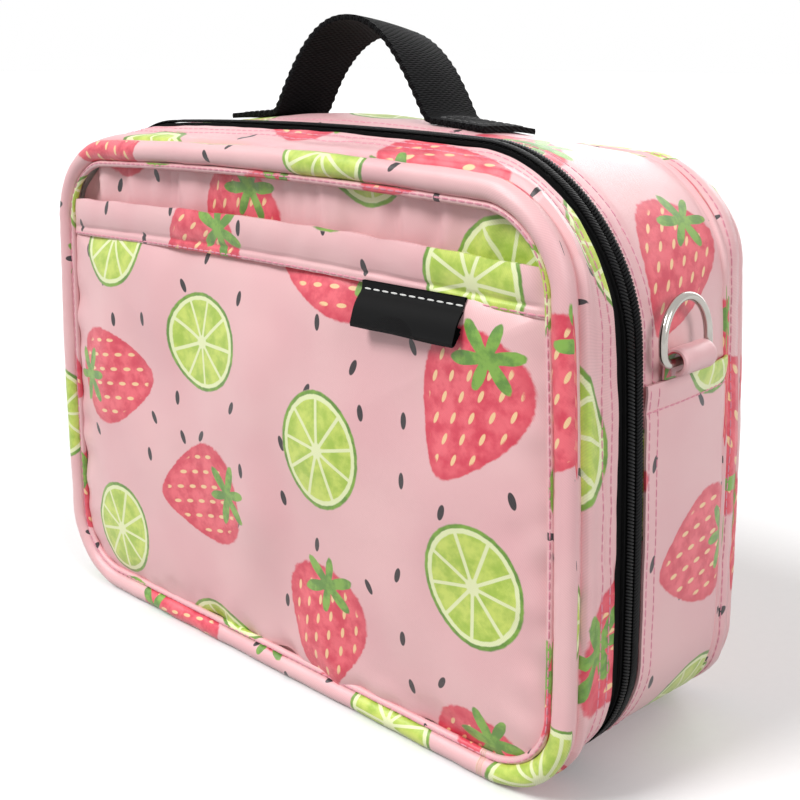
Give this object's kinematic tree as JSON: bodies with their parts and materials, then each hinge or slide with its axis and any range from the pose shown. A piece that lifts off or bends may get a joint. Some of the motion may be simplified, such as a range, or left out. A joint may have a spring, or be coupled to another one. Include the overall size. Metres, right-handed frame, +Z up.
{
  "type": "insulated zip case",
  "caption": "Padded clamshell cooling case for medicine: piped halves joined by a bottom fold and a zip, with slip pockets, strap rings, a webbing handle, a cold pack and pen loops.",
  "frame": {"origin": "on the flat base, under the middle of the width and midway between the two pipings", "axes": "+X to the right seen from the front, the front faces -Y, +Z up"},
  "size_m": [0.2765, 0.1022, 0.2255],
  "materials": {
    "printed_fabric": "printed satin-woven polyester",
    "foam": "closed-cell insulating foam sheet",
    "lining": "silver-grey wipe-clean lining",
    "zip_tape": "black woven zip tape",
    "zip_coil": "black nylon coil",
    "webbing": "black ribbed webbing",
    "label": "black woven label, white stitching",
    "mesh": "black polyester mesh",
    "gel_film": "pale blue film over gel",
    "nickel": "nickel plate"
  },
  "bodies": {
    "back_half": {"back_panel": "printed_fabric", "back_foam_board": "foam", "back_gusset": "printed_fabric", "back_gusset_foam": "foam", "back_lining": "lining", "back_piping": "printed_fabric", "zip_tape_back": "zip_tape", "zip_coil_back": "zip_coil", "carry_handle": "webbing", "bottom_fold": "printed_fabric", "elastic_loops": "webbing", "side_pocket_right": "printed_fabric", "side_pocket_left": "printed_fabric", "strap_tab_right": "printed_fabric", "strap_tab_left": "printed_fabric"},
    "front_half": {"front_panel": "printed_fabric", "front_foam_board": "foam", "front_gusset": "printed_fabric", "front_gusset_foam": "foam", "front_lining": "lining", "front_piping": "printed_fabric", "zip_tape_front": "zip_tape", "zip_coil_front": "zip_coil", "front_pocket": "printed_fabric", "front_pocket_band": "printed_fabric", "woven_label": "label", "cold_pack": "gel_film", "mesh_pocket": "mesh", "mesh_pocket_hem": "mesh"},
    "ring_right": {"strap_ring_right": "nickel"},
    "ring_left": {"strap_ring_left": "nickel"},
    "slider": {"zip_slider": "nickel"},
    "pull": {"zip_pull": "nickel"}
  },
  "joints": [
    {"name": "lid_open", "type": "hinge", "parent": "back_half", "child": "front_half", "pos_m": [0, -0.0215, 0], "axis": [1, 0, 0], "range_deg": [0, 170]},
    {"name": "slider_run", "type": "slide", "parent": "back_half", "child": "slider", "axis": [0.0475, 0, 0.9989], "range_m": [0, 0.06]},
    {"name": "pull_swing", "type": "hinge", "parent": "slider", "child": "pull", "pos_m": [-0.13645, -0.0215, 0.05616], "axis": [0, 1, 0], "range_deg": [0, 160]},
    {"name": "ring_right_swing", "type": "hinge", "parent": "back_half", "child": "ring_right", "pos_m": [0.13253, -0.002, 0.1315], "axis": [0, 1, 0], "range_deg": [0, 150]},
    {"name": "ring_left_swing", "type": "hinge", "parent": "back_half", "child": "ring_left", "pos_m": [-0.13253, -0.002, 0.1315], "axis": [0, -1, 0], "range_deg": [0, 150]}
  ]
}
